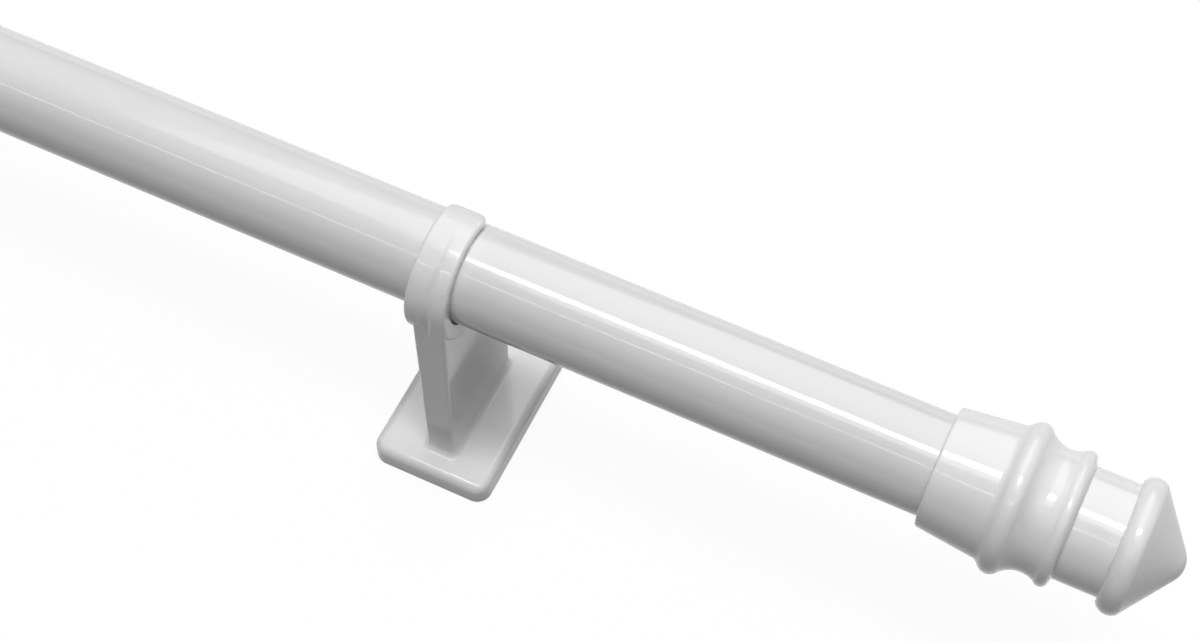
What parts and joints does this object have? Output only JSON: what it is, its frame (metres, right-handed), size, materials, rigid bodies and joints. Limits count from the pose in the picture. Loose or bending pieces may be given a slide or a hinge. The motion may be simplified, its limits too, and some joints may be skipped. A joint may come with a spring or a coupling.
{
  "type": "extendable cafe curtain rod",
  "caption": "Slim white telescoping cafe curtain rod with turned push-on finials, carried in one-piece hook brackets that stick to a window frame.",
  "frame": {"origin": "middle of the whole footprint on the mounting surface", "axes": "+X along the rod towards the finial of the thicker tube, +Z away from the mounting surface, +Y along the brackets' base plates towards their long ends"},
  "size_m": [0.4428, 0.032, 0.0444],
  "materials": {
    "tube_paint": "glossy white enamel on rolled steel strip",
    "moulding_plastic": "smooth semi-gloss white moulding",
    "plug_plastic": "matt natural white plastic",
    "pad_foam": "double-sided white foam tape"
  },
  "bodies": {
    "outer_rod": {"outer_tube": "tube_paint"},
    "inner_rod": {"inner_tube": "tube_paint", "guide_plug": "plug_plastic"},
    "right_end": {"right_finial": "moulding_plastic"},
    "left_end": {"left_finial": "moulding_plastic", "finial_sleeve": "plug_plastic"},
    "right_support": {"right_bracket": "moulding_plastic", "right_adhesive_pad": "pad_foam"},
    "left_support": {"left_bracket": "moulding_plastic", "left_adhesive_pad": "pad_foam"}
  },
  "joints": [
    {"name": "extend", "type": "slide", "parent": "outer_rod", "child": "inner_rod", "axis": [-1, 0, 0], "range_m": [-0.068, 0.18]},
    {"name": "right_finial_pull", "type": "slide", "parent": "outer_rod", "child": "right_end", "axis": [1, 0, 0], "range_m": [0, 0.02]},
    {"name": "left_finial_pull", "type": "slide", "parent": "inner_rod", "child": "left_end", "axis": [-1, 0, 0], "range_m": [0, 0.02]},
    {"name": "right_bracket_slide", "type": "slide", "parent": "outer_rod", "child": "right_support", "axis": [1, 0, 0], "range_m": [-0.08, 0.055]},
    {"name": "left_bracket_slide", "type": "slide", "parent": "inner_rod", "child": "left_support", "axis": [-1, 0, 0], "range_m": [-0.08, 0.055]}
  ]
}
